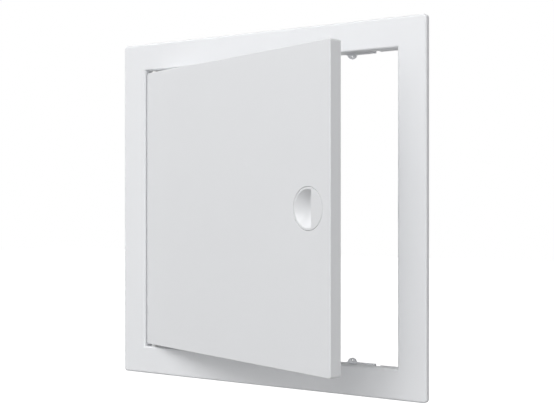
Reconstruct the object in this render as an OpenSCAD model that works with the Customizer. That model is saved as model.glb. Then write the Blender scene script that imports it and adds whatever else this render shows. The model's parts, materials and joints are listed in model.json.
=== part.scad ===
// Square access panel for a wall or ceiling: a moulded plastic frame, a hinged
// door that stands ajar, and a quarter-turn latch with a scooped thumb knob.
//
// Each piece is drawn as the closed panel is seen from the front: x to the right,
// y up, z towards the viewer and z = 0 on the front face of the flange. on_door()
// then opens the door, and in_row() stands the panel up with its origin at the
// centre of the opening, in the plane of the wall.

/* [Frame] */
// Overall width and height of the flange
frame_w = 300; // [240:1:400]
// Width of the flange from its outer edge to the opening
flange_w = 24.5; // [20:0.5:36]
// Thickness of the flange, from its front face to the wall
flange_t = 5; // [4.5:0.25:8]
// Wall thickness of the frame moulding
frame_wall = 2.2; // [1.6:0.1:3]
// Radius of the flange's outer corners
frame_corner_r = 3; // [2.5:0.5:12]
// Rounding of the flange's outer and inner front edges
frame_edge_r = 2; // [0.5:0.25:2.5]
// Thickness of the ribs behind the flange
flange_rib_t = 1.4; // [1:0.1:2]
// Distance of those ribs from the wall
flange_rib_recess = 0.5; // [0.2:0.1:1.2]
// Largest distance between those ribs
flange_rib_pitch = 44; // [25:1:80]

/* [Fixing ears] */
// Distance of each screw hole from the panel's upright centre line
ear_x = 80.5; // [50:0.5:85]
// Thickness of the ears, of the lips beside them and of the keeper
ear_t = 1.8; // [1.4:0.1:3]
// How far an ear stands into the opening
ear_reach = 4.1; // [3.8:0.1:8]
// Diameter of the screw holes
ear_hole_d = 1.6; // [1.4:0.1:2.2]
// Distance of the screw holes from the collar's inner face
ear_hole_inset = 2.1; // [1.6:0.1:2.2]
// Length of the lip that stiffens the collar beside an ear, from the screw hole
lip_l = 21; // [12:0.5:24]
// How far that lip stands into the opening
lip_reach = 0.9; // [0.5:0.1:1.6]
// Distance from the screw hole to the foot of the lip's ramp
lip_lead = 7; // [6:0.5:12]
// Length of the ramp
lip_ramp = 3.5; // [1:0.5:5]
// Width of the notch in the collar at the end of the lip
notch_w = 4.5; // [2:0.5:8]
// How far the notch is cut in from the collar's rear edge
notch_depth = 5; // [1:0.5:6]

/* [Door] */
// Clearance all round the closed door
door_gap = 2.25; // [1.75:0.05:3.25]
// Depth of the door from its front face to its rim
door_depth = 10.5; // [9.5:0.5:16]
// Wall thickness of the door moulding
door_wall = 2.2; // [1.6:0.1:2.6]
// Radius of the door's corners
door_corner_r = 2; // [1.9:0.1:6]
// Rounding of the door's front edges
door_edge_r = 0.7; // [0.5:0.1:1.9]
// Clearance between the closed door and the ears and keeper that stop it
stop_gap = 0.2; // [0.1:0.05:0.6]
// Angle at which the door stands open
door_ajar = 19; // [0:0.5:60]
// Thickness of the ribs on the back of the door
door_rib_t = 1.4; // [1:0.1:2]
// Height of those ribs
door_rib_h = 4; // [1:0.5:5]
// Number of ribs each way
door_ribs = 4; // [1:1:7]

/* [Hinge] */
// Diameter of the two hinge pins
pin_d = 5; // [3:0.25:5.5]
// Distance of the pins' axis from the edge of the door
pin_inset = 5; // [4.75:0.25:7]
// Length of each pin that the door holds
pin_seat_l = 14; // [8:0.5:24]
// Length of each pin in the frame, through the collar and its socket
pin_bearing_l = 5.5; // [4:0.25:9]
// Radial clearance of the turning pins and of the latch's hub
running_fit = 0.06; // [0.03:0.01:0.1]
// Chamfer on the ends of the pins
pin_chamfer = 0.6; // [0.2:0.1:1]
// Wall of the bosses round the pins
boss_wall = 1.9; // [1.4:0.1:2]

/* [Latch knob] */
// Distance of the latch's axis from the free edge of the door
latch_inset = 24.75; // [23:0.25:40]
// Diameter of the knob
knob_d = 32.6; // [26:0.1:34]
// Clearance round and behind the knob
knob_gap = 0.25; // [0.15:0.05:0.6]
// Rounding of the knob's front edge
knob_edge_r = 0.4; // [0.2:0.1:1]
// Rounding of the edge of the knob's hole
knob_hole_edge_r = 0.3; // [0.2:0.1:1]
// Width of the knob's rim outside the finger scoop
knob_rim = 1.7; // [1.05:0.05:3]
// Depth of the finger scoop
scoop_depth = 6.8; // [4:0.1:6.8]
// Distance from the knob's centre to the straight wall of the scoop
scoop_wall_x = 4; // [0:0.5:6]
// Thickness of the floor of the cup that holds the knob
cup_floor = 1.8; // [1.2:0.1:1.8]
// Wall of the cup that holds the knob
cup_wall = 1.8; // [1.2:0.1:3]
// Diameter of the knob's hub
hub_d = 10; // [9.5:0.25:12]
// Width of the square end of the hub
square_w = 6.6; // [5.5:0.1:6.7]

/* [Latch tongue] */
// Thickness of the tongue
tongue_t = 2.4; // [1.6:0.1:4]
// Width of the tongue's arm
tongue_w = 10; // [7:0.5:12]
// Width of the tongue's eye outside the hub
tongue_eye_w = 2.5; // [1.5:0.1:3.5]
// Radius of the corners at the tongue's tip
tongue_corner_r = 2.5; // [1:0.1:3]
// Width of the slope that leads the tongue behind the keeper
lead_w = 3; // [1:0.1:3.5]
// Thickness of the tongue at the edge of that slope
lead_t = 1.4; // [0.8:0.1:1.5]
// Clearance between the tongue's tip and the collar
tongue_tip_gap = 1; // [0.6:0.1:2]
// Clearance between the tongue and the keeper it closes behind
tongue_keeper_gap = 0.4; // [0.2:0.05:0.8]
// Clearance between the tongue and the boss it turns on
tongue_boss_gap = 0.1; // [0.05:0.05:0.15]
// Length of the keeper on the collar
keeper_l = 30; // [16:1:50]
// How far the keeper stands into the opening
keeper_reach = 4.25; // [3:0.25:6]
// Radius of the two posts that stop the tongue
post_r = 2; // [1.2:0.1:2.5]
// Clearance between a post and the tongue that it stops
post_gap = 0.3; // [0.2:0.05:0.6]
// Distance of the posts from the outside of the cup
post_inset = 0.6; // [0.3:0.1:1.2]

/* [Latch screw] */
// Diameter of the screw
screw_d = 3; // [2:0.1:3.5]
// Length of the screw under its head
screw_l = 7.5; // [5:0.5:8]
// Diameter of the screw's head
screw_head_d = 5.6; // [4.5:0.1:7]
// Height of the screw's head
screw_head_h = 1.8; // [1:0.1:2.5]
// Thickness of the washer under the head
washer_t = 0.8; // [0.5:0.1:1.5]
// Diameter of the washer
washer_d = 10.5; // [9.5:0.5:12]
// Clearance of the washer round the screw
washer_play = 0.1; // [0.05:0.05:0.3]

/* [Hidden] */
$fn = 64;

// Flat steps in the quarter circle of a rounded edge
edge_steps = 6;
// How far a cut passes the face that it opens, and a joined shape enters the next
over = 1;
// Clearance of pieces that are fixed to each other
fixed_fit = 0.02;

opening_w = frame_w - 2 * flange_w;
collar_w = opening_w + 2 * frame_wall;
collar_depth = door_depth + stop_gap + ear_t;
door_w = opening_w - 2 * door_gap;

pin_r = pin_d / 2;
boss_r = pin_r + boss_wall;
pin_x = pin_inset - door_w / 2;
pin_depth = door_depth / 2;
pin_inner_y = door_w / 2 - pin_seat_l;
pin_outer_y = opening_w / 2 + pin_bearing_l;

latch_x = door_w / 2 - latch_inset;
knob_r = knob_d / 2;
bore_r = knob_r + knob_gap;
cup_r = bore_r + cup_wall;
knob_depth = door_depth - cup_floor - knob_gap;
scoop_r = knob_r - knob_rim;
scoop_sphere_r = (pow(scoop_r, 2) + pow(scoop_depth, 2)) / (2 * scoop_depth);
hub_r = hub_d / 2;

tongue_front = collar_depth + tongue_keeper_gap;
tongue_back = tongue_front + tongue_t;
tongue_reach = latch_inset + door_gap - tongue_tip_gap;
tongue_eye_r = hub_r + tongue_eye_w;
boss_depth = tongue_front - tongue_boss_gap;
post_side = tongue_w / 2 + post_gap + post_r;
post_along = sqrt(pow(cup_r - post_inset - post_r, 2) - pow(post_side, 2));
washer_back = tongue_back + washer_t;

frame_white = "#f1f2f3";
door_white = "#eceded";
latch_white = "#e9eaeb";
pin_white = "#f4f4f2";
zinc = "#b9bcc0";

// The points of an arc about a centre, from one angle to another
function arc_points(centre, r, from, to) =
    [for (i = [0 : edge_steps])
        let (a = from + (to - from) * i / edge_steps)
        centre + r * [cos(a), sin(a)]];

// Outline of a solid of half width w whose front edge is rounded, from its middle out
function rounded_outline(w, edge_r, depth) =
    concat([[0, -depth], [w, -depth]],
           arc_points([w - edge_r, -edge_r], edge_r, 0, 90),
           [[0, 0]]);

// Outline of a hole of half width w whose front edge is rounded, from its middle out
function flared_outline(w, edge_r, depth) =
    concat([[0, -depth], [w, -depth]],
           arc_points([w + edge_r, -edge_r], edge_r, 180, 90),
           [[w + edge_r, over], [0, over]]);

// Stands the panel up, with x to the right, y into the wall and z up
module in_row() {
    rotate([90, 0, 0])
        translate([0, 0, flange_t])
            children();
}

// Turns a piece with the door, about the hinge pins
module on_door() {
    translate([pin_x, 0, -pin_depth])
        rotate([0, -door_ajar, 0])
            translate([-pin_x, 0, pin_depth])
                children();
}

// Moves a piece to the latch's axis on the door
module at_latch() {
    translate([latch_x, 0, 0])
        children();
}

// Places its children on the upper pin's axis, with z along the pin and up
module at_upper_pin() {
    translate([pin_x, 0, -pin_depth])
        rotate([-90, 0, 0])
            children();
}

// Places its children on both pins' axes, with z away from the middle of the panel
module at_pins() {
    for (low = [0, 1])
        mirror([0, low])
            at_upper_pin()
                children();
}

// Repeats its children at the four fixing points of the collar
module at_ears() {
    for (left = [0, 1], low = [0, 1])
        mirror([left, 0])
            mirror([0, low])
                translate([0, 0, -collar_depth])
                    children();
}

// A square block between two depths behind the front face
module block(w, from, to) {
    translate([-w / 2, -w / 2, -to])
        cube([w, w, to - from]);
}

// A square slab with rounded corners and a rounded front edge
module rounded_slab(w, corner_r, edge_r, depth) {
    straight = w - 2 * corner_r;
    block(straight, 0, depth);
    for (side = [0 : 3])
        rotate(90 * side)
            translate([straight / 2, straight / 2, 0]) {
                rotate_extrude(angle = 90)
                    polygon(rounded_outline(corner_r, edge_r, depth));
                rotate([90, 0, 0])
                    linear_extrude(straight)
                        polygon(rounded_outline(corner_r, edge_r, depth));
            }
}

// The hollow that leaves a wall inside such a slab, open at the back
module slab_hollow(w, corner_r, wall, depth) {
    inner_r = max(corner_r - wall, wall / 4);
    straight = w - 2 * wall - 2 * inner_r;
    translate([0, 0, -depth - over])
        linear_extrude(depth + over - wall) {
            square([straight, straight + 2 * inner_r], center = true);
            square([straight + 2 * inner_r, straight], center = true);
            for (x = [-1, 1], y = [-1, 1])
                translate([x, y] * straight / 2)
                    circle(inner_r);
        }
}

// The cut for a square opening with a rounded front edge
module square_opening(w, edge_r, depth) {
    reach = w / 2 + edge_r + over;
    intersection_for (turn = [0, 90])
        rotate(turn)
            translate([0, reach, 0])
                rotate([90, 0, 0])
                    linear_extrude(2 * reach)
                        for (left = [0, 1])
                            mirror([left, 0])
                                polygon(flared_outline(w / 2, edge_r, depth));
}

// Ribs that cross the hollow back of the flange, on all four sides
module flange_ribs() {
    inner = collar_w / 2 - frame_wall / 2;
    outer = frame_w / 2 - frame_wall / 2;
    bays = ceil(collar_w / flange_rib_pitch);
    for (side = [0 : 3])
        rotate(90 * side)
            for (i = [0 : bays])
                translate([(i / bays - 0.5) * (collar_w - flange_rib_t) - flange_rib_t / 2, inner,
                           flange_rib_recess - flange_t])
                    cube([flange_rib_t, outer - inner, flange_t - flange_rib_recess - frame_wall / 2]);
}

// One fixing ear with its lip and its screw hole, in the plane of the collar's rear edge
module ear_outline() {
    inner = opening_w / 2;
    root = inner + frame_wall / 2;
    foot = ear_x - lip_lead;
    difference() {
        union() {
            intersection() {
                translate([ear_x, inner])
                    circle(ear_reach);
                translate([ear_x - ear_reach, root - 2 * ear_reach])
                    square(2 * ear_reach);
            }
            polygon([[foot, root], [foot, inner], [foot + lip_ramp, inner - lip_reach],
                     [ear_x + lip_l, inner - lip_reach], [ear_x + lip_l, root]]);
        }
        translate([ear_x, inner - ear_hole_inset])
            circle(d = ear_hole_d);
    }
}

// The lip on the collar that the latch's tongue closes behind
module keeper() {
    inner = opening_w / 2;
    root = inner + frame_wall / 2;
    end = keeper_l / 2;
    translate([0, 0, -collar_depth])
        linear_extrude(ear_t)
            polygon([[root, -end], [inner, -end], [inner - keeper_reach, keeper_reach - end],
                     [inner - keeper_reach, end - keeper_reach], [inner, end], [root, end]]);
}

// Flange, collar and hinge sockets, before the ears and the keeper are added
module frame_shell() {
    difference() {
        union() {
            difference() {
                rounded_slab(frame_w, frame_corner_r, frame_edge_r, flange_t);
                slab_hollow(frame_w, frame_corner_r, frame_wall, flange_t);
            }
            block(collar_w, frame_wall / 2, collar_depth);
            flange_ribs();
            at_pins()
                translate([0, 0, opening_w / 2])
                    cylinder(r = boss_r, h = pin_bearing_l);
        }
        square_opening(opening_w, frame_edge_r, collar_depth + over);
        at_ears()
            translate([ear_x + lip_l, opening_w / 2 - over, -over])
                cube([notch_w, frame_wall + 2 * over, notch_depth + over]);
        at_pins()
            translate([0, 0, opening_w / 2 - over])
                cylinder(r = pin_r + running_fit, h = pin_bearing_l + 2 * over);
    }
}

module frame() {
    color(frame_white)
        in_row() {
            frame_shell();
            at_ears()
                linear_extrude(ear_t)
                    ear_outline();
            keeper();
        }
}

// Ribs across the back of the door, each way
module door_rib_grid() {
    rib_l = door_w - door_wall;
    for (turn = [0, 90])
        rotate(turn)
            for (i = [1 : door_ribs])
                translate([(i / (door_ribs + 1) - 0.5) * door_w - door_rib_t / 2, -rib_l / 2,
                           -door_wall - door_rib_h])
                    cube([door_rib_t, rib_l, door_rib_h + door_wall / 2]);
}

// The cup that holds the knob, the boss behind it and the posts that stop the tongue
module latch_cup() {
    translate([0, 0, -door_depth])
        cylinder(r = cup_r, h = door_depth - door_wall / 2);
    translate([0, 0, -boss_depth])
        cylinder(r = tongue_eye_r, h = boss_depth - door_depth + cup_floor / 2);
    for (place = [[-post_side, post_along], [post_along, -post_side]])
        translate([place[0], place[1], -tongue_back])
            cylinder(r = post_r, h = tongue_back - door_depth + cup_floor / 2);
}

// The holes for the knob and for its hub
module latch_bores() {
    rotate_extrude()
        polygon(flared_outline(bore_r, knob_hole_edge_r, door_depth - cup_floor));
    translate([0, 0, -boss_depth - over])
        cylinder(r = hub_r + running_fit, h = boss_depth + over);
}

module door_panel() {
    color(door_white)
        in_row()
            on_door()
                difference() {
                    union() {
                        difference() {
                            rounded_slab(door_w, door_corner_r, door_edge_r, door_depth);
                            slab_hollow(door_w, door_corner_r, door_wall, door_depth);
                        }
                        door_rib_grid();
                        at_latch()
                            latch_cup();
                        at_pins()
                            translate([0, 0, pin_inner_y])
                                cylinder(r = boss_r, h = pin_seat_l - door_wall / 2);
                    }
                    at_latch()
                        latch_bores();
                    at_pins()
                        translate([0, 0, pin_inner_y - over])
                            cylinder(r = pin_r + fixed_fit, h = pin_seat_l + 2 * over);
                }
}

// A plain pin with chamfered ends, for the upper or the lower corner
module hinge_pin(low) {
    end_r = pin_r - pin_chamfer;
    color(pin_white)
        in_row()
            on_door()
                mirror([0, low])
                    at_upper_pin()
                        rotate_extrude()
                            polygon([[0, pin_inner_y], [end_r, pin_inner_y],
                                     [pin_r, pin_inner_y + pin_chamfer], [pin_r, pin_outer_y - pin_chamfer],
                                     [end_r, pin_outer_y], [0, pin_outer_y]]);
}

module upper_hinge_pin() {
    hinge_pin(0);
}

module lower_hinge_pin() {
    hinge_pin(1);
}

// The hollow for a fingertip: a spherical bowl that ends at a straight wall. The sphere
// lies with its poles up and down, so that neither is in the bowl
module finger_scoop() {
    intersection() {
        translate([0, 0, scoop_sphere_r - scoop_depth])
            rotate([90, 0, 0])
                sphere(scoop_sphere_r, $fn = 128);
        translate([-knob_r, -knob_r, -scoop_depth - over])
            cube([knob_r + scoop_wall_x, knob_d, scoop_depth + 2 * over]);
    }
}

module latch_knob() {
    color(latch_white)
        in_row()
            on_door()
                at_latch()
                    difference() {
                        union() {
                            rotate_extrude()
                                polygon(rounded_outline(knob_r, knob_edge_r, knob_depth));
                            translate([0, 0, -tongue_front])
                                cylinder(r = hub_r, h = tongue_front - knob_depth + over);
                            translate([-square_w / 2, -square_w / 2, -tongue_back])
                                cube([square_w, square_w, tongue_t + over]);
                        }
                        finger_scoop();
                        translate([0, 0, -tongue_back - over])
                            cylinder(d = screw_d + 2 * fixed_fit, h = screw_l - washer_t + over + fixed_fit);
                    }
}

// The tongue seen along the latch's axis, pointing up as it does while the latch is open
module tongue_outline() {
    corner_x = tongue_w / 2 - tongue_corner_r;
    difference() {
        union() {
            circle(tongue_eye_r);
            translate([-tongue_w / 2, 0])
                square([tongue_w, tongue_reach - tongue_corner_r]);
            translate([-corner_x, 0])
                square([2 * corner_x, tongue_reach]);
            for (x = [-corner_x, corner_x])
                translate([x, tongue_reach - tongue_corner_r])
                    circle(tongue_corner_r);
        }
        square(square_w + 2 * fixed_fit, center = true);
    }
}

module latch_tongue() {
    color(latch_white)
        in_row()
            on_door()
                at_latch()
                    difference() {
                        translate([0, 0, -tongue_back])
                            linear_extrude(tongue_t)
                                tongue_outline();
                        // The slope along the edge that goes first behind the keeper
                        translate([tongue_w / 2, tongue_reach + over, -tongue_back + lead_t])
                            rotate([90, 0, 0])
                                linear_extrude(tongue_reach - tongue_eye_r + over)
                                    polygon([[0, 0], [over, 0], [over, tongue_t], [-lead_w, tongue_t],
                                             [-lead_w, tongue_t - lead_t]]);
                    }
}

module latch_washer() {
    color(zinc)
        in_row()
            on_door()
                at_latch()
                    translate([0, 0, -washer_back])
                        linear_extrude(washer_t)
                            difference() {
                                circle(d = washer_d);
                                circle(d = screw_d + 2 * washer_play);
                            }
}

module latch_screw() {
    head = rounded_outline(screw_head_d / 2, screw_head_h / 2, screw_head_h);
    color(zinc)
        in_row()
            on_door()
                at_latch()
                    translate([0, 0, -washer_back]) {
                        cylinder(d = screw_d, h = screw_l);
                        mirror([0, 0, 1])
                            rotate_extrude()
                                translate([0, screw_head_h])
                                    polygon(head);
                    }
}

frame();
door_panel();
upper_hinge_pin();
lower_hinge_pin();
latch_knob();
latch_tongue();
latch_washer();
latch_screw();
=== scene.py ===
"""Looks of a square white access panel: its frame, its hinged door and its quarter-turn latch.

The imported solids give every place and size. This script rounds their moulded edges, models the
latch's knob, washer and screw in finer detail, adds the marks that a mould leaves on hidden
faces, dresses each surface and sets up the studio.
"""

import json
import logging
import math
from dataclasses import dataclass, field
from enum import Enum
from typing import Any, Callable, Iterable

import bmesh
import bpy
from mathutils import Matrix, Vector


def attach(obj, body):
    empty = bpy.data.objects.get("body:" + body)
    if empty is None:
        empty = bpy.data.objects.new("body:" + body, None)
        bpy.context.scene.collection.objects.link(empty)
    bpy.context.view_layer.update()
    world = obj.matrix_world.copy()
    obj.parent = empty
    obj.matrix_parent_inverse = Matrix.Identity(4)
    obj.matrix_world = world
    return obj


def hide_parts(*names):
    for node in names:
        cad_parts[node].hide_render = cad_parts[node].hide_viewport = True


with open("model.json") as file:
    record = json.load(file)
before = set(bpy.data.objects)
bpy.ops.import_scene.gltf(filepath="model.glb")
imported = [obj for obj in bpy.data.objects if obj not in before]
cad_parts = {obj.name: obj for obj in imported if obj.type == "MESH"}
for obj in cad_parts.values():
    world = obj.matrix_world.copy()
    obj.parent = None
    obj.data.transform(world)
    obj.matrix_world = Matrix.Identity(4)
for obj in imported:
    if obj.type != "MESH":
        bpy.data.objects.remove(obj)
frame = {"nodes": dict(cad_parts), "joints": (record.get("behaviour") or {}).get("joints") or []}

LOG = logging.getLogger("access_panel")
MM = 0.001
Colour = tuple[float, float, float]
NodeInputs = dict[str | int, Any]

# Vertices closer than this are one, and edges flatter than this are cleared.
MERGE_DISTANCE = 0.002 * MM
FLAT_ANGLE = math.radians(0.5)
# Edges sharper than this are rounded.
HARD_EDGE = math.radians(40)
# A face whose normal reaches this far along z is an end face.
END_FACE = 0.9
# Heights that differ by less than this are the same.
HAIR = 0.01 * MM


class Body(Enum):
    """The rigid bodies of the panel that a piece can ride on."""

    FRAME = "frame"
    DOOR = "door"
    LATCH = "latch"


class Slot(Enum):
    """The record's material slots."""

    FRAME = "frame_plastic"
    DOOR = "door_plastic"
    LATCH = "latch_plastic"
    PIN = "pin_plastic"
    ZINC = "zinc_steel"


class Operation(Enum):
    """How one workpiece acts on another."""

    ADD = "UNION"
    CUT = "DIFFERENCE"


class Element(Enum):
    """What a selection on the bench is made of."""

    EDGES = "EDGE"
    FACES = "FACE"

    def of(self, shape: bmesh.types.BMesh) -> Iterable[Any]:
        """Gives the elements of this kind in a mesh.

        Args:
            shape: The mesh in edit mode.

        Returns:
            Its edges or faces.
        """
        return shape.edges if self is Element.EDGES else shape.faces


def latch_seat() -> Matrix:
    """Gives the latch's place on the open door, with x away from the hinge, y up and z to the room.

    Returns:
        The matrix that takes that frame to the row's frame.
    """
    joint = next(joint for joint in frame["joints"] if joint["name"] == "latch_turn")
    inward = Vector(joint["axis"]).normalized()
    up = Vector((0, 0, 1))
    turn = Matrix((up.cross(-inward), up, -inward)).transposed().to_4x4()
    return Matrix.Translation(joint["pos_m"]) @ turn


class Workpiece:
    """One mesh object on the bench, shaped with Blender's own operators."""

    def __init__(self, obj: bpy.types.Object) -> None:
        """Takes an object onto the bench."""
        self.obj = obj

    @property
    def mesh(self) -> bpy.types.Mesh:
        """The object's mesh."""
        return self.obj.data

    @staticmethod
    def clear_bench() -> None:
        """Leaves nothing selected and nothing in edit mode."""
        if bpy.context.object and bpy.context.object.mode != "OBJECT":
            bpy.ops.object.mode_set(mode="OBJECT")
        bpy.ops.object.select_all(action="DESELECT")

    @classmethod
    def _added(cls, name: str) -> "Workpiece":
        """Names the primitive that was just added and takes it onto the bench.

        Args:
            name: The name of the object and its mesh.

        Returns:
            The primitive, with its place moved into its mesh.
        """
        bpy.context.object.name = name
        bpy.context.object.data.name = name
        piece = cls(bpy.context.object)
        piece.settle()
        return piece

    @classmethod
    def cylinder(cls, name: str, radius: float, low: float, high: float, sides: int = 96) -> "Workpiece":
        """Adds a cylinder about the z axis.

        Args:
            name: The new object's name.
            radius: Its radius in metres.
            low: The height of its lower end.
            high: The height of its upper end.
            sides: The number of its sides.

        Returns:
            The new workpiece.
        """
        cls.clear_bench()
        bpy.ops.mesh.primitive_cylinder_add(
            vertices=sides, radius=radius, depth=high - low, location=(0, 0, (high + low) / 2)
        )
        return cls._added(name)

    @classmethod
    def box(cls, name: str, sides: tuple[float, float, float], centre: Vector) -> "Workpiece":
        """Adds a box.

        Args:
            name: The new object's name.
            sides: Its lengths along x, y and z.
            centre: Its middle.

        Returns:
            The new workpiece.
        """
        cls.clear_bench()
        bpy.ops.mesh.primitive_cube_add(size=1, location=centre, scale=sides)
        return cls._added(name)

    @classmethod
    def sphere(cls, name: str, radius: float, centre: Vector, segments: int, rings: int) -> "Workpiece":
        """Adds a sphere whose poles lie along the y axis.

        Args:
            name: The new object's name.
            radius: Its radius in metres.
            centre: Its centre.
            segments: The number of its meridians.
            rings: The number of its parallels.

        Returns:
            The new workpiece.
        """
        cls.clear_bench()
        bpy.ops.mesh.primitive_uv_sphere_add(
            segments=segments,
            ring_count=rings,
            radius=radius,
            location=centre,
            rotation=(math.pi / 2, 0, 0),
        )
        return cls._added(name)

    @classmethod
    def copy_of_node(cls, node: str, name: str) -> "Workpiece":
        """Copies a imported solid, merges its loose triangles and clears the edges inside flat faces.

        Args:
            node: The solid's node name.
            name: The copy's name.

        Returns:
            The copy as a workpiece.
        """
        cls.clear_bench()
        source = frame["nodes"][node]
        copy = bpy.data.objects.new(name, source.data.copy())
        copy.data.materials.clear()
        bpy.context.scene.collection.objects.link(copy)
        bpy.context.view_layer.objects.active = copy
        copy.select_set(True)
        piece = cls(copy)
        piece.edit()
        bpy.ops.mesh.select_all(action="SELECT")
        bpy.ops.mesh.customdata_custom_splitnormals_clear()
        bpy.ops.mesh.remove_doubles(threshold=MERGE_DISTANCE)
        bpy.ops.mesh.dissolve_limited(angle_limit=FLAT_ANGLE)
        piece.done()
        return piece

    def activate(self) -> None:
        """Makes this the one selected object."""
        self.clear_bench()
        bpy.context.view_layer.objects.active = self.obj
        self.obj.select_set(True)

    def edit(self) -> None:
        """Opens the mesh in edit mode."""
        self.activate()
        bpy.ops.object.mode_set(mode="EDIT")

    def done(self) -> None:
        """Closes edit mode."""
        bpy.ops.object.mode_set(mode="OBJECT")

    def select(self, element: Element, test: Callable[[Any], bool]) -> None:
        """Selects by place or normal, in edit mode.

        Args:
            element: What is selected.
            test: Says of one edge or face whether it is wanted.
        """
        bpy.ops.mesh.select_mode(type=element.value)
        bpy.ops.mesh.select_all(action="DESELECT")
        shape = bmesh.from_edit_mesh(self.mesh)
        wanted = [item for item in element.of(shape) if test(item)]
        for item in wanted:
            item.select_set(True)
        shape.select_flush_mode()
        bmesh.update_edit_mesh(self.mesh)

    def settle(self) -> None:
        """Moves the object's own place into its mesh."""
        self.activate()
        bpy.ops.object.transform_apply(location=True, rotation=True, scale=True)

    def place(self, matrix: Matrix) -> None:
        """Moves the finished mesh to its place in the row's frame."""
        self.obj.matrix_world = matrix
        self.settle()

    def modify(self, kind: str, **settings: Any) -> None:
        """Adds a modifier with the given settings and applies it.

        Args:
            kind: Blender's name of the modifier's type.
            settings: Values of its properties.
        """
        self.activate()
        modifier = self.obj.modifiers.new(kind.title(), kind)
        for key, value in settings.items():
            setattr(modifier, key, value)
        bpy.ops.object.modifier_apply(modifier=modifier.name)

    def combine(self, operation: Operation, other: "Workpiece") -> None:
        """Adds another workpiece or cuts with it, which uses it up.

        Args:
            operation: What is done.
            other: The workpiece that acts on this one.
        """
        self.modify("BOOLEAN", operation=operation.value, object=other.obj, solver="EXACT")
        bpy.data.objects.remove(other.obj)

    def soften(self, radius: float, segments: int = 2) -> None:
        """Rounds every hard edge a little.

        Args:
            radius: The width of the rounding.
            segments: The number of its steps.
        """
        self.modify("BEVEL", width=radius, segments=segments, limit_method="ANGLE", angle_limit=HARD_EDGE)

    def twin(self) -> "Workpiece":
        """Copies the object together with its mesh.

        Returns:
            The copy, in the same place.
        """
        copy = self.obj.copy()
        copy.data = self.mesh.copy()
        bpy.context.scene.collection.objects.link(copy)
        return Workpiece(copy)

    def join(self, others: Iterable["Workpiece"]) -> None:
        """Joins other workpieces into this one.

        Args:
            others: The pieces that become part of this mesh.
        """
        self.activate()
        for other in others:
            other.obj.select_set(True)
        bpy.ops.object.join()

    def smooth(self, angle: float) -> None:
        """Shades round faces smooth and keeps flat faces flat.

        Args:
            angle: Edges sharper than this, in degrees, stay crisp.
        """
        self.activate()
        bpy.ops.object.shade_smooth_by_angle(angle=math.radians(angle))
        self.modify("WEIGHTED_NORMAL", mode="FACE_AREA", weight=50, keep_sharp=True)

    def dress(self, material: bpy.types.Material, body: Body, slot: Slot, *nodes: str) -> None:
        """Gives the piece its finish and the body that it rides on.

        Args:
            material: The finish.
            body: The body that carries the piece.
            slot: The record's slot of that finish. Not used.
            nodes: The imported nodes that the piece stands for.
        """
        self.mesh.materials.clear()
        self.mesh.materials.append(material)
        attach(self.obj, body.value)
        if nodes:
            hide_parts(*nodes)
        LOG.info("%s: %d faces, on the %s", self.obj.name, len(self.mesh.polygons), body.value)


class NodeSketch:
    """A shader node tree that is filled in step by step."""

    def __init__(self, tree: bpy.types.NodeTree) -> None:
        """Takes the tree that is filled in."""
        self.tree = tree

    def add(self, kind: str, inputs: NodeInputs | None = None, **settings: Any) -> bpy.types.Node:
        """Adds a node.

        Args:
            kind: The node's type without its prefix.
            inputs: Values or sockets for its inputs, by name or number.
            settings: Values of its properties.

        Returns:
            The new node.
        """
        node = self.tree.nodes.new("ShaderNode" + kind)
        for key, value in settings.items():
            setattr(node, key, value)
        for key, value in (inputs or {}).items():
            if isinstance(value, bpy.types.NodeSocket):
                self.tree.links.new(value, node.inputs[key])
            else:
                node.inputs[key].default_value = value
        return node

    def link(self, source: bpy.types.NodeSocket, target: bpy.types.NodeSocket) -> None:
        """Joins two sockets."""
        self.tree.links.new(source, target)

    def blend(self, factor: bpy.types.NodeSocket, first: Colour, second: Colour) -> bpy.types.NodeSocket:
        """Blends two colours.

        Args:
            factor: The share of the second colour.
            first: The colour where the factor is 0.
            second: The colour where it is 1.

        Returns:
            The blended colour.
        """
        mix = self.add("Mix", data_type="RGBA")
        self.link(factor, mix.inputs["Factor"])
        sockets = (socket for socket in mix.inputs if socket.type == "RGBA")
        for socket, colour in zip(sockets, (first, second)):
            socket.default_value = (*colour, 1)
        return next(socket for socket in mix.outputs if socket.type == "RGBA")


def blank_material(name: str) -> tuple[bpy.types.Material, NodeSketch, Any]:
    """Makes a material with a plain principled surface.

    Args:
        name: The material's name.

    Returns:
        The material, its tree to fill in and the inputs of its surface.
    """
    material = bpy.data.materials.new(name)
    material.use_nodes = True
    surface = material.node_tree.nodes["Principled BSDF"].inputs
    return material, NodeSketch(material.node_tree), surface


class SharedGroup:
    """A node group that is built once and shared by the finishes that ask for it."""

    NAME: str
    INPUTS: tuple[str, ...]
    OUTPUTS: tuple[str, ...]

    @classmethod
    def group(cls) -> bpy.types.NodeTree:
        """Gives the group, and builds it when it is first asked for.

        Returns:
            The group, with the input Vector before those that its class names.
        """
        if cls.NAME in bpy.data.node_groups:
            return bpy.data.node_groups[cls.NAME]
        tree = bpy.data.node_groups.new(cls.NAME, "ShaderNodeTree")
        tree.interface.new_socket("Vector", in_out="INPUT", socket_type="NodeSocketVector")
        for side, names in (("INPUT", cls.INPUTS), ("OUTPUT", cls.OUTPUTS)):
            for name in names:
                tree.interface.new_socket(name, in_out=side, socket_type="NodeSocketFloat")
        given = tree.nodes.new("NodeGroupInput").outputs
        result = tree.nodes.new("NodeGroupOutput").inputs
        sketch = NodeSketch(tree)
        for name, socket in cls.results(sketch, given).items():
            sketch.link(socket, result[name])
        return tree

    @classmethod
    def results(cls, sketch: NodeSketch, given: Any) -> dict[str, bpy.types.NodeSocket]:
        """Draws the nodes of the group.

        Args:
            sketch: The group's tree.
            given: The sockets of its inputs.

        Returns:
            The socket behind each output.
        """
        raise NotImplementedError


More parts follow.
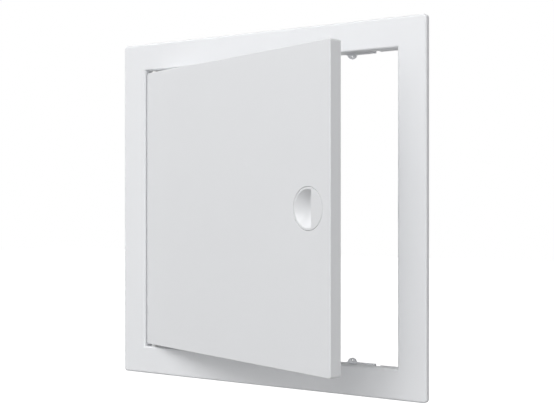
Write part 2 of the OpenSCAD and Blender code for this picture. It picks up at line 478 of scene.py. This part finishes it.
class MouldGrain(SharedGroup):
    """The texture that a spark-eroded mould leaves on plastic."""

    NAME = "mould_grain"
    INPUTS = ("Grain Scale", "Flow Scale", "Ripple")
    OUTPUTS = ("Height", "Mottle", "Polish")
    POLISH_SCALE = 2.7
    POLISH_RANGE = (0.3, 0.7)

    @classmethod
    def results(cls, sketch: NodeSketch, given: Any) -> dict[str, bpy.types.NodeSocket]:
        """Draws a fine grain on slow flow marks, and a polish that varies with them.

        Args:
            sketch: The group's tree.
            given: The sockets of its inputs.

        Returns:
            The socket behind each output.
        """
        place = given["Vector"]
        grain = sketch.add(
            "TexNoise", {"Vector": place, "Scale": given["Grain Scale"], "Detail": 2.0, "Roughness": 0.55}
        )
        flow = sketch.add(
            "TexNoise", {"Vector": place, "Scale": given["Flow Scale"], "Detail": 3.0, "Distortion": 0.6}
        )
        ripple = sketch.add("Math", {0: flow.outputs["Fac"], 1: given["Ripple"]}, operation="MULTIPLY")
        height = sketch.add("Math", {0: grain.outputs["Fac"], 1: ripple.outputs[0]}, operation="ADD")
        finer = sketch.add("Math", {0: given["Flow Scale"], 1: cls.POLISH_SCALE}, operation="MULTIPLY")
        polish = sketch.add("TexNoise", {"Vector": place, "Scale": finer.outputs[0], "Detail": 4.0})
        return {
            "Height": height.outputs[0],
            "Mottle": flow.outputs["Fac"],
            "Polish": polish.outputs["Fac"],
        }


class RubMarks(SharedGroup):
    """Fine straight rubbing marks on bare metal."""

    NAME = "rub_marks"
    INPUTS = ("Mark Scale",)
    OUTPUTS = ("Mark", "Cloud")
    STRETCH = (1.0, 1.0, 0.06)
    CLOUD_SCALE = 0.12

    @classmethod
    def results(cls, sketch: NodeSketch, given: Any) -> dict[str, bpy.types.NodeSocket]:
        """Draws long marks, and clouds that are coarser than they are.

        Args:
            sketch: The group's tree.
            given: The sockets of its inputs.

        Returns:
            The socket behind each output.
        """
        place = given["Vector"]
        stretch = sketch.add("Mapping", {"Vector": place, "Scale": cls.STRETCH})
        mark = sketch.add(
            "TexNoise", {"Vector": stretch.outputs[0], "Scale": given["Mark Scale"], "Detail": 3.0}
        )
        coarser = sketch.add("Math", {0: given["Mark Scale"], 1: cls.CLOUD_SCALE}, operation="MULTIPLY")
        cloud = sketch.add("TexNoise", {"Vector": place, "Scale": coarser.outputs[0], "Detail": 2.0})
        return {"Mark": mark.outputs["Fac"], "Cloud": cloud.outputs["Fac"]}


@dataclass(frozen=True)
class PlasticFinish:
    """A moulded plastic surface."""

    name: str
    colour: Colour
    flow_colour: Colour
    roughness: float
    roughness_spread: float
    grain_mm: float
    flow_mm: float
    ripple: float
    grain_height_mm: float
    bump: float = 0.35
    specular: float = 0.4

    def material(self) -> bpy.types.Material:
        """Builds the finish.

        Returns:
            The material.
        """
        material, sketch, surface = blank_material(self.name)
        place = sketch.add("TexCoord").outputs["Object"]
        grain = sketch.add("Group", node_tree=MouldGrain.group())
        sketch.link(place, grain.inputs["Vector"])
        grain.inputs["Grain Scale"].default_value = 1 / (self.grain_mm * MM)
        grain.inputs["Flow Scale"].default_value = 1 / (self.flow_mm * MM)
        grain.inputs["Ripple"].default_value = self.ripple
        tint = sketch.blend(grain.outputs["Mottle"], self.colour, self.flow_colour)
        polish = sketch.add(
            "MapRange",
            {
                "Value": grain.outputs["Polish"],
                "From Min": MouldGrain.POLISH_RANGE[0],
                "From Max": MouldGrain.POLISH_RANGE[1],
                "To Min": self.roughness - self.roughness_spread,
                "To Max": self.roughness + self.roughness_spread,
            },
        )
        bump = sketch.add(
            "Bump",
            {
                "Height": grain.outputs["Height"],
                "Strength": self.bump,
                "Distance": self.grain_height_mm * MM,
            },
        )
        sketch.link(tint, surface["Base Color"])
        sketch.link(polish.outputs["Result"], surface["Roughness"])
        sketch.link(bump.outputs["Normal"], surface["Normal"])
        surface["Specular IOR Level"].default_value = self.specular
        return material


@dataclass(frozen=True)
class ZincFinish:
    """Bright zinc plating on steel."""

    name: str
    colour: Colour
    shade: Colour
    roughness: float
    mark_mm: float
    mark_height_mm: float = 0.02
    bump: float = 0.2
    smoother: float = 0.1
    rougher: float = 0.15

    def material(self) -> bpy.types.Material:
        """Builds the finish.

        Returns:
            The material.
        """
        material, sketch, surface = blank_material(self.name)
        place = sketch.add("TexCoord").outputs["Object"]
        marks = sketch.add("Group", node_tree=RubMarks.group())
        sketch.link(place, marks.inputs["Vector"])
        marks.inputs["Mark Scale"].default_value = 1 / (self.mark_mm * MM)
        mark = marks.outputs["Mark"]
        tint = sketch.blend(marks.outputs["Cloud"], self.colour, self.shade)
        polish = sketch.add(
            "MapRange",
            {
                "Value": mark,
                "To Min": self.roughness - self.smoother,
                "To Max": self.roughness + self.rougher,
            },
        )
        bump = sketch.add(
            "Bump", {"Height": mark, "Strength": self.bump, "Distance": self.mark_height_mm * MM}
        )
        sketch.link(tint, surface["Base Color"])
        sketch.link(polish.outputs["Result"], surface["Roughness"])
        sketch.link(bump.outputs["Normal"], surface["Normal"])
        surface["Metallic"].default_value = 1.0
        return material


FRAME_WHITE = PlasticFinish(
    name="frame_satin_white",
    colour=(0.845, 0.855, 0.872),
    flow_colour=(0.825, 0.836, 0.855),
    roughness=0.46,
    roughness_spread=0.05,
    grain_mm=0.5,
    flow_mm=60,
    ripple=6.0,
    grain_height_mm=0.02,
)
DOOR_WHITE = PlasticFinish(
    name="door_satin_white",
    colour=(0.807, 0.817, 0.832),
    flow_colour=(0.792, 0.801, 0.818),
    roughness=0.45,
    roughness_spread=0.05,
    grain_mm=0.5,
    flow_mm=75,
    ripple=6.0,
    grain_height_mm=0.02,
)
LATCH_WHITE = PlasticFinish(
    name="latch_smooth_white",
    colour=(0.785, 0.795, 0.808),
    flow_colour=(0.773, 0.782, 0.797),
    roughness=0.36,
    roughness_spread=0.04,
    grain_mm=0.35,
    flow_mm=18,
    ripple=3.0,
    grain_height_mm=0.01,
)
PIN_WHITE = PlasticFinish(
    name="pin_natural_white",
    colour=(0.92, 0.92, 0.905),
    flow_colour=(0.895, 0.892, 0.87),
    roughness=0.4,
    roughness_spread=0.05,
    grain_mm=0.3,
    flow_mm=6,
    ripple=2.0,
    grain_height_mm=0.012,
)
ZINC = ZincFinish(
    name="bright_zinc",
    colour=(0.66, 0.67, 0.69),
    shade=(0.55, 0.56, 0.585),
    roughness=0.32,
    mark_mm=0.25,
)


@dataclass
class PinMarks:
    """The round marks that a mould's ejector pins leave on a hidden face."""

    radius: float = 2.5 * MM
    proud: float = 0.12 * MM
    root: float = 0.3 * MM
    rim: float = 0.4 * MM
    dish: float = 0.08 * MM
    edge_r: float = 0.03 * MM
    smooth_angle: float = 40.0

    def mark(self, name: str) -> Workpiece:
        """Models one mark: a thin raised ring round a shallow dish.

        Args:
            name: The mark's name.

        Returns:
            The mark on the plane z = 0, facing up.
        """
        mark = Workpiece.cylinder(name, self.radius, -self.root, self.proud, sides=48)
        mark.edit()
        mark.select(Element.FACES, lambda face: face.normal.z > END_FACE)
        bpy.ops.mesh.inset(thickness=self.rim)
        bpy.ops.mesh.extrude_region_move(TRANSFORM_OT_translate={"value": (0, 0, -self.dish)})
        mark.done()
        mark.soften(self.edge_r)
        return mark

    def spread(self, name: str, places: Iterable[Matrix]) -> Workpiece:
        """Repeats the mark at several places.

        Args:
            name: The name of the finished marks.
            places: Where each of them lies.

        Returns:
            All the marks in one workpiece.
        """
        first, *rest = places
        marks = self.mark(name)
        copies = [marks.twin() for _ in rest]
        for copy, place in zip(copies, rest):
            copy.place(place)
        marks.place(first)
        marks.join(copies)
        marks.smooth(self.smooth_angle)
        return marks


@dataclass
class FrameMoulding:
    """The one-piece frame: flange, collar, fixing ears, keeper and hinge sockets."""

    front: float = 5.0 * MM
    wall: float = 2.2 * MM
    edge_r: float = 0.15 * MM
    mark_r: float = 2.0 * MM
    mark_out: float = 137.7 * MM
    mark_along: tuple[float, ...] = (-63.5 * MM, 63.5 * MM)
    smooth_angle: float = 40.0

    def build(self) -> None:
        """Refines the frame's solid, marks its back and dresses both."""
        plastic = FRAME_WHITE.material()
        piece = Workpiece.copy_of_node("frame", "frame_moulding")
        piece.soften(self.edge_r)
        piece.smooth(self.smooth_angle)
        piece.dress(plastic, Body.FRAME, Slot.FRAME, "frame")
        marks = PinMarks(radius=self.mark_r).spread("frame_pin_marks", self.mark_places())
        marks.dress(plastic, Body.FRAME, Slot.FRAME)

    def mark_places(self) -> list[Matrix]:
        """Finds the places of the marks in the hollow back of the flange.

        Returns:
            A place for each mark, facing into the wall.
        """
        depth = self.wall - self.front
        spots = [(turn, along) for turn in range(4) for along in self.mark_along]
        return [
            Matrix.Rotation(turn * math.pi / 2, 4, "Y")
            @ Matrix.Translation((along, depth, self.mark_out))
            @ Matrix.Rotation(-math.pi / 2, 4, "X")
            for turn, along in spots
        ]


@dataclass
class DoorLeaf:
    """The door: a shallow tray with ribs, a latch cup and hinge bosses behind it."""

    wall: float = 2.2 * MM
    latch_x: float = 98.5 * MM
    edge_r: float = 0.15 * MM
    cell: float = 49.1 * MM
    mark_cells: tuple[tuple[int, int], ...] = (
        (-2, -2), (2, -2), (-2, 2), (2, 2), (-1, -1), (1, -1), (-1, 1), (1, 1), (0, -2), (0, 2), (-2, 0),
    )
    gate_r: float = 1.6 * MM
    gate_h: float = 0.7 * MM
    gate_taper: float = 0.75
    gate_rim: float = 0.48 * MM
    gate_break: tuple[float, float] = (0.6, 0.8)
    smooth_angle: float = 40.0

    def build(self) -> None:
        """Refines the door's solid, marks its back and dresses them."""
        plastic = DOOR_WHITE.material()
        piece = Workpiece.copy_of_node("door_panel", "door_leaf")
        piece.soften(self.edge_r)
        piece.smooth(self.smooth_angle)
        piece.dress(plastic, Body.DOOR, Slot.DOOR, "door_panel")
        marks = PinMarks().spread("door_pin_marks", [self.on_back(x, y) for x, y in self.mark_cells])
        marks.dress(plastic, Body.DOOR, Slot.DOOR)
        self.gate().dress(plastic, Body.DOOR, Slot.DOOR)

    def on_back(self, column: int, row: int) -> Matrix:
        """Finds the middle of a cell between the ribs on the door's back.

        Args:
            column: The cell's number from the middle away from the hinge.
            row: The cell's number from the middle up.

        Returns:
            A place on the inside of the tray, facing backwards.
        """
        spot = Vector((column * self.cell - self.latch_x, row * self.cell, -self.wall))
        return latch_seat() @ Matrix.Translation(spot) @ Matrix.Rotation(math.pi, 4, "X")

    def gate(self) -> Workpiece:
        """Models the stub where the plastic entered the mould, with its broken end.

        Returns:
            The stub in the middle of the door's back.
        """
        gate = Workpiece.cylinder("door_gate_stub", self.gate_r, -self.wall / 4, self.gate_h, sides=40)
        gate.edit()
        gate.select(Element.FACES, lambda face: face.normal.z > END_FACE)
        bpy.ops.transform.resize(value=(self.gate_taper, self.gate_taper, 1.0))
        bpy.ops.mesh.inset(thickness=self.gate_rim)
        bpy.ops.mesh.extrude_region_move(TRANSFORM_OT_translate={"value": (0, 0, self.gate_h / 3)})
        bpy.ops.transform.resize(value=(*self.gate_break, 1.0))
        gate.done()
        gate.soften(self.gate_h / 10)
        gate.place(self.on_back(0, 0))
        gate.smooth(self.smooth_angle)
        return gate


@dataclass
class HingePins:
    """The two pins that the door turns on."""

    smooth_angle: float = 40.0
    nodes: tuple[str, ...] = ("upper_hinge_pin", "lower_hinge_pin")

    def build(self) -> None:
        """Refines both pins and dresses them."""
        material = PIN_WHITE.material()
        for node in self.nodes:
            piece = Workpiece.copy_of_node(node, node.replace("hinge_", ""))
            piece.smooth(self.smooth_angle)
            piece.dress(material, Body.DOOR, Slot.PIN, node)


@dataclass
class ThumbKnob:
    """The knob with its finger scoop, its hub and the square end that turns the tongue."""

    knob_r: float = 16.25 * MM
    knob_depth: float = 8.45 * MM
    edge_r: float = 0.3 * MM
    scoop_r: float = 14.6 * MM
    scoop_depth: float = 6.8 * MM
    scoop_wall_x: float = 4.0 * MM
    scoop_edge_r: float = 0.12 * MM
    hub_r: float = 5.0 * MM
    hub_depth: float = 12.9 * MM
    square_w: float = 6.6 * MM
    square_depth: float = 15.3 * MM
    square_edge_r: float = 0.2 * MM
    square_root: float = 1.0 * MM
    bore_r: float = 1.52 * MM
    bore_top: float = 8.58 * MM
    hard_edge: float = math.radians(35)
    smooth_angle: float = 32.0

    def build(self, plastic: bpy.types.Material) -> None:
        """Models the knob and dresses it.

        Args:
            plastic: The latch's plastic.
        """
        knob = self.turned_body()
        knob.combine(Operation.ADD, self.square_end())
        bore = Workpiece.cylinder("bore_cutter", self.bore_r, -2 * self.square_depth, -self.bore_top)
        knob.combine(Operation.CUT, bore)
        knob.combine(Operation.CUT, self.scoop_cutter())
        self.round_scoop(knob)
        knob.place(latch_seat())
        knob.smooth(self.smooth_angle)
        knob.dress(plastic, Body.LATCH, Slot.LATCH, "latch_knob")

    def turned_body(self) -> Workpiece:
        """Models the round of the knob with its rounded rim, and the hub behind it.

        Returns:
            The body about its own axis, with its face at z = 0.
        """
        knob = Workpiece.cylinder("thumb_knob", self.knob_r, -self.knob_depth, 0, sides=128)
        knob.edit()
        knob.select(Element.EDGES, lambda edge: all(vert.co.z > -HAIR for vert in edge.verts))
        bpy.ops.mesh.bevel(offset=self.edge_r, segments=6, affect="EDGES")
        knob.select(Element.FACES, lambda face: face.normal.z < -END_FACE)
        bpy.ops.mesh.inset(thickness=self.knob_r - self.hub_r)
        bpy.ops.mesh.extrude_region_move(
            TRANSFORM_OT_translate={"value": (0, 0, self.knob_depth - self.hub_depth)}
        )
        knob.done()
        knob.soften(self.scoop_edge_r, segments=3)
        return knob

    def scoop_cutter(self) -> Workpiece:
        """Models the hollow for a fingertip: part of a sphere behind a straight wall.

        Returns:
            The cutter.
        """
        radius = (self.scoop_r**2 + self.scoop_depth**2) / (2 * self.scoop_depth)
        centre = Vector((0, 0, radius - self.scoop_depth))
        cutter = Workpiece.sphere("scoop_cutter", radius, centre, segments=96, rings=72)
        cutter.edit()
        bpy.ops.mesh.select_all(action="SELECT")
        bpy.ops.mesh.bisect(
            plane_co=(self.scoop_wall_x, 0, 0),
            plane_no=(1, 0, 0),
            use_fill=True,
            clear_outer=True,
            threshold=0,
        )
        cutter.done()
        return cutter

    def round_scoop(self, knob: Workpiece) -> None:
        """Breaks the edges of the scoop, as the last step: a solid is only cut while it is clean.

        The shortest edge that the cuts leave holds the width back to a few thousandths of a millimetre.

        Args:
            knob: The knob with its scoop.
        """
        floor = -self.scoop_depth - HAIR
        knob.edit()
        knob.select(
            Element.EDGES,
            lambda edge: edge.calc_face_angle(0.0) > self.hard_edge
            and all(vert.co.z > floor for vert in edge.verts),
        )
        bpy.ops.mesh.bevel(offset=self.scoop_edge_r, segments=3, affect="EDGES", clamp_overlap=True)
        knob.done()

    def square_end(self) -> Workpiece:
        """Models the square end of the hub, with its corners broken.

        Returns:
            The square, which enters the hub a little.
        """
        low, high = -self.square_depth, -self.hub_depth + self.square_root
        sides = (self.square_w, self.square_w, high - low)
        square = Workpiece.box("square_end", sides, Vector((0, 0, (low + high) / 2)))
        square.edit()
        square.select(Element.EDGES, lambda edge: abs(edge.verts[0].co.z - edge.verts[1].co.z) > MM)
        bpy.ops.mesh.bevel(offset=self.square_edge_r, segments=2, affect="EDGES")
        square.done()
        return square


@dataclass
class TurningTongue:
    """The flat tongue that the knob turns behind the keeper."""

    edge_r: float = 0.25 * MM
    smooth_angle: float = 40.0

    def build(self, plastic: bpy.types.Material) -> None:
        """Softens the tongue's edges and dresses it.

        Args:
            plastic: The latch's plastic.
        """
        tongue = Workpiece.copy_of_node("latch_tongue", "turning_tongue")
        tongue.soften(self.edge_r)
        tongue.smooth(self.smooth_angle)
        tongue.dress(plastic, Body.LATCH, Slot.LATCH, "latch_tongue")


@dataclass
class StampedWasher:
    """The flat steel washer under the screw's head."""

    outer_r: float = 5.25 * MM
    inner_r: float = 1.6 * MM
    front: float = 15.3 * MM
    back: float = 16.1 * MM
    edge_r: float = 0.12 * MM
    smooth_angle: float = 40.0

    def build(self, zinc: bpy.types.Material) -> None:
        """Models the washer and dresses it.

        Args:
            zinc: The plating.
        """
        washer = Workpiece.cylinder("stamped_washer", self.outer_r, -self.back, -self.front)
        washer.edit()
        washer.select(Element.FACES, lambda face: abs(face.normal.z) > END_FACE)
        bpy.ops.mesh.inset(thickness=self.outer_r - self.inner_r)
        bpy.ops.mesh.bridge_edge_loops()
        washer.done()
        washer.soften(self.edge_r)
        washer.place(latch_seat())
        washer.smooth(self.smooth_angle)
        washer.dress(zinc, Body.LATCH, Slot.ZINC, "latch_washer")


@dataclass
class CrossScrew:
    """The screw that holds the tongue, with a domed head and a cross recess."""

    shank_r: float = 1.5 * MM
    length: float = 7.5 * MM
    head_r: float = 2.8 * MM
    head_h: float = 1.8 * MM
    head_round: float = 1.08 * MM
    point: float = 0.4
    seat: float = 16.1 * MM
    recess_l: float = 3.0 * MM
    recess_w: float = 0.75 * MM
    recess_depth: float = 1.1 * MM
    recess_taper: float = 0.55
    edge_r: float = 0.06 * MM
    smooth_angle: float = 32.0

    def build(self, zinc: bpy.types.Material) -> None:
        """Models the screw and dresses it.

        Args:
            zinc: The plating.
        """
        screw = self.turned_body()
        for name, turn in (("recess_across", 0.0), ("recess_along", math.pi / 2)):
            screw.combine(Operation.CUT, self.recess_cutter(name, turn))
        screw.soften(self.edge_r)
        screw.place(latch_seat())
        screw.smooth(self.smooth_angle)
        screw.dress(zinc, Body.LATCH, Slot.ZINC, "latch_screw")

    def turned_body(self) -> Workpiece:
        """Models the head with its rounded edge and the shank with its pointed end.

        Returns:
            The screw about its own axis.
        """
        top = -self.seat - self.head_h
        screw = Workpiece.cylinder("cross_screw", self.head_r, top, -self.seat, sides=64)
        screw.edit()
        screw.select(Element.EDGES, lambda edge: all(vert.co.z < top + HAIR for vert in edge.verts))
        bpy.ops.mesh.bevel(offset=self.head_round, segments=8, affect="EDGES")
        screw.select(Element.FACES, lambda face: face.normal.z > END_FACE)
        bpy.ops.mesh.inset(thickness=self.head_r - self.shank_r)
        for step in (self.length - self.shank_r, self.shank_r):
            bpy.ops.mesh.extrude_region_move(TRANSFORM_OT_translate={"value": (0, 0, step)})
        bpy.ops.transform.resize(value=(self.point, self.point, 1.0))
        screw.done()
        return screw

    def recess_cutter(self, name: str, turn: float) -> Workpiece:
        """Models one slot of the cross recess, narrower at its bottom.

        Args:
            name: The cutter's name.
            turn: Its angle about the screw's axis.

        Returns:
            The cutter.
        """
        top = -self.seat - self.head_h
        depth = 2 * self.recess_depth
        cutter = Workpiece.box(name, (self.recess_l, self.recess_w, depth), Vector((0, 0, top)))
        cutter.edit()
        cutter.select(Element.FACES, lambda face: face.normal.z > END_FACE)
        bpy.ops.transform.resize(value=(self.recess_taper, self.recess_taper, 1.0))
        cutter.done()
        cutter.place(Matrix.Rotation(turn, 4, "Z"))
        return cutter


@dataclass
class QuarterTurnLatch:
    """The latch: knob, tongue, washer and screw on one axis."""

    knob: ThumbKnob = field(default_factory=ThumbKnob)
    tongue: TurningTongue = field(default_factory=TurningTongue)
    washer: StampedWasher = field(default_factory=StampedWasher)
    screw: CrossScrew = field(default_factory=CrossScrew)

    def build(self) -> None:
        """Builds the latch from the front to the back."""
        plastic = LATCH_WHITE.material()
        zinc = ZINC.material()
        self.knob.build(plastic)
        self.tongue.build(plastic)
        self.washer.build(zinc)
        self.screw.build(zinc)


@dataclass(frozen=True)
class SoftBox:
    """A square studio light that points at the middle of the panel.

    Azimuth is counted from straight in front of the panel to the right, elevation from level up.
    """

    name: str
    azimuth: float
    elevation: float
    power: float
    side: float = 1.8
    distance: float = 3.0

    def build(self) -> None:
        """Hangs the light."""
        turn, rise = math.radians(self.azimuth), math.radians(self.elevation)
        level = math.cos(rise)
        outward = Vector((math.sin(turn) * level, -math.cos(turn) * level, math.sin(rise)))
        lamp = bpy.data.lights.new(self.name, "AREA")
        lamp.shape = "SQUARE"
        lamp.size = self.side
        lamp.energy = self.power
        light = bpy.data.objects.new(self.name, lamp)
        light.visible_camera = False
        light.location = self.distance * outward
        light.rotation_euler = (-outward).to_track_quat("-Z", "Y").to_euler()
        bpy.context.scene.collection.objects.link(light)


@dataclass
class Studio:
    """White surroundings, soft light and the photograph's camera."""

    image_width: float = 554.0
    focal_pixels: float = 991.42
    sensor_mm: float = 36.0
    yaw: float = math.radians(31.382)
    distance: float = 0.8386
    shift_right: float = 0.013347
    shift_up: float = 0.000427
    front_y: float = -0.005
    floor_z: float = -0.42
    floor_side: float = 14.0
    floor_tone: float = 0.3
    floor_glow: float = 0.78
    shadow_r: float = 0.7
    white_r: float = 1.05
    boxes: tuple[SoftBox, ...] = (
        SoftBox("front_box", azimuth=5, elevation=43, power=46.7),
        SoftBox("right_box", azimuth=60, elevation=3, power=39.0),
        SoftBox("low_box", azimuth=-20, elevation=14, power=19.1),
        SoftBox("left_box", azimuth=-70, elevation=40, power=32.2),
        SoftBox("back_box", azimuth=180, elevation=0, power=27.0, side=0.4),
    )

    def build(self) -> None:
        """Sets up the camera, the lights, the world and the floor."""
        scene = bpy.context.scene
        scene.view_settings.view_transform = "Standard"
        scene.camera = self.camera()
        for box in self.boxes:
            box.build()
        self.world()
        self.floor()

    def camera(self) -> bpy.types.Object:
        """Places the camera as it stood in the photograph.

        Returns:
            The camera.
        """
        forward = Vector((-math.sin(self.yaw), math.cos(self.yaw), 0))
        right = Vector((math.cos(self.yaw), math.sin(self.yaw), 0))
        lens = bpy.data.cameras.new("photo_camera")
        lens.sensor_width = self.sensor_mm
        lens.lens = self.focal_pixels * self.sensor_mm / self.image_width
        lens.clip_start = 0.01
        camera = bpy.data.objects.new("photo_camera", lens)
        camera.location = (
            Vector((0, self.front_y, self.shift_up)) - self.distance * forward + self.shift_right * right
        )
        camera.rotation_euler = (math.pi / 2, 0, self.yaw)
        bpy.context.scene.collection.objects.link(camera)
        return camera

    def seen_directly(self, sketch: NodeSketch) -> bpy.types.NodeSocket:
        """Tells what the camera and mirrors see from what lights the object.

        Args:
            sketch: The tree that asks.

        Returns:
            A socket that is 1 for camera, glossy and transmitted rays.
        """
        path = sketch.add("LightPath").outputs
        seen = path["Is Camera Ray"]
        for kind in ("Is Glossy Ray", "Is Transmission Ray"):
            seen = sketch.add("Math", {0: seen, 1: path[kind]}, operation="MAXIMUM").outputs[0]
        return seen

    def world(self) -> None:
        """Makes the surroundings white to the eye, with no light of their own on the object."""
        world = bpy.data.worlds.new("white_room")
        bpy.context.scene.world = world
        world.use_nodes = True
        sketch = NodeSketch(world.node_tree)
        back = world.node_tree.nodes["Background"].inputs
        back["Color"].default_value = (1, 1, 1, 1)
        sketch.link(self.seen_directly(sketch), back["Strength"])

    def floor(self) -> None:
        """Lays a floor that is white to the eye, throws little light back and still takes a shadow."""
        Workpiece.clear_bench()
        bpy.ops.mesh.primitive_plane_add(size=self.floor_side, location=(0, 0, self.floor_z))
        floor = bpy.context.object
        floor.name = "studio_floor"
        material, sketch, surface = blank_material("floor_white")
        surface["Base Color"].default_value = (self.floor_tone, self.floor_tone, self.floor_tone, 1)
        surface["Roughness"].default_value = 0.9
        surface["Emission Color"].default_value = (1, 1, 1, 1)
        away = sketch.add("VectorMath", {0: sketch.add("TexCoord").outputs["Object"]}, operation="LENGTH")
        white = sketch.add(
            "MapRange",
            {
                "Value": away.outputs["Value"],
                "From Min": self.shadow_r,
                "From Max": self.white_r,
                "To Min": self.floor_glow,
                "To Max": 1.0,
            },
        )
        glow = sketch.add(
            "Math", {0: self.seen_directly(sketch), 1: white.outputs["Result"]}, operation="MULTIPLY"
        )
        sketch.link(glow.outputs[0], surface["Emission Strength"])
        floor.data.materials.append(material)


def main() -> None:
    """Builds the panel's pieces in order, then the studio."""
    logging.basicConfig(level=logging.INFO, format="%(name)s: %(message)s")
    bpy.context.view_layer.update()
    for part in (FrameMoulding(), DoorLeaf(), HingePins(), QuarterTurnLatch()):
        LOG.info("building %s", type(part).__name__)
        part.build()
    Studio().build()


if __name__ == "__main__":
    main()
